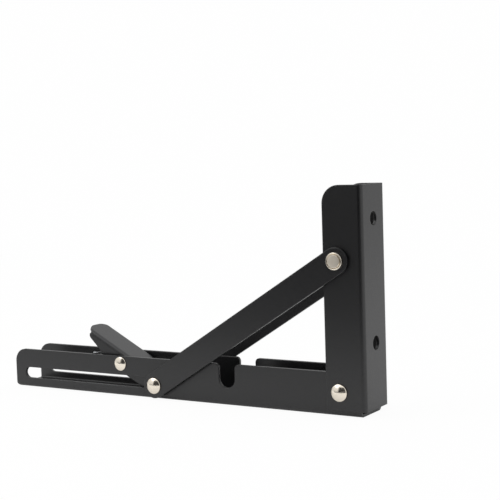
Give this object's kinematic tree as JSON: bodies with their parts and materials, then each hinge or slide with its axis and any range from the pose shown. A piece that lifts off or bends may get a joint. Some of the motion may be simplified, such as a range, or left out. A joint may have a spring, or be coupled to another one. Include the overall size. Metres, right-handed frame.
{
  "type": "folding shelf bracket",
  "caption": "Folding shelf bracket: a slotted channel arm hinged in a wall channel, twin strut plates on a sliding pin, and a release lever that locks it open.",
  "frame": {"origin": "on the shelf face plane, under the middle of the arm's reach and of the width", "axes": "+X along the arm toward the wall face, whose outward normal it is; +Z from the shelf face toward the wall channel's top, as the picture shows it upside down; +Y across the width"},
  "size_m": [0.3, 0.045, 0.1515],
  "materials": {
    "powder_coat": "matt powder coat",
    "nickel": "bright nickel plate",
    "zinc_steel": "zinc plated"
  },
  "bodies": {
    "wall": {"wall_channel": "powder_coat", "hinge_rivet": "nickel", "strut_rivet": "nickel"},
    "arm": {"shelf_arm": "powder_coat", "lever_rivet": "nickel", "lever_washer_near": "zinc_steel", "lever_washer_far": "zinc_steel"},
    "strut": {"strut_plate_near": "powder_coat", "strut_plate_far": "powder_coat", "pin_head_near": "nickel", "pin_head_far": "nickel"},
    "slide": {"slide_pin_near": "zinc_steel", "slide_pin_far": "zinc_steel", "slide_collar_near": "zinc_steel", "slide_collar_far": "zinc_steel"},
    "lever": {"release_lever": "powder_coat", "lever_spring": "zinc_steel"}
  },
  "joints": [
    {"name": "arm_fold", "type": "hinge", "parent": "wall", "child": "arm", "pos_m": [0.131, 0, 0.016], "axis": [0, 1, 0], "range_deg": [0, 90]},
    {"name": "strut_swing", "type": "hinge", "parent": "wall", "child": "strut", "pos_m": [0.131, 0, 0.1024], "axis": [0, 1, 0], "range_deg": [0, 120.3]},
    {"name": "pin_slide", "type": "slide", "parent": "arm", "child": "slide", "axis": [-1, 0, 0], "range_m": [0, 0.1129]},
    {"name": "lever_release", "type": "hinge", "parent": "arm", "child": "lever", "pos_m": [-0.049, 0, 0.0233], "axis": [0, -1, 0], "range_deg": [0, 28], "stiffness_Nm_per_rad": 0.12, "springref_deg": -34.38}
  ],
  "couplings": [
    {"joint": "strut_swing", "follows": "arm_fold", "ratio": 1.335},
    {"joint": "pin_slide", "follows": "arm_fold", "m_per_rad": 0.071776}
  ]
}
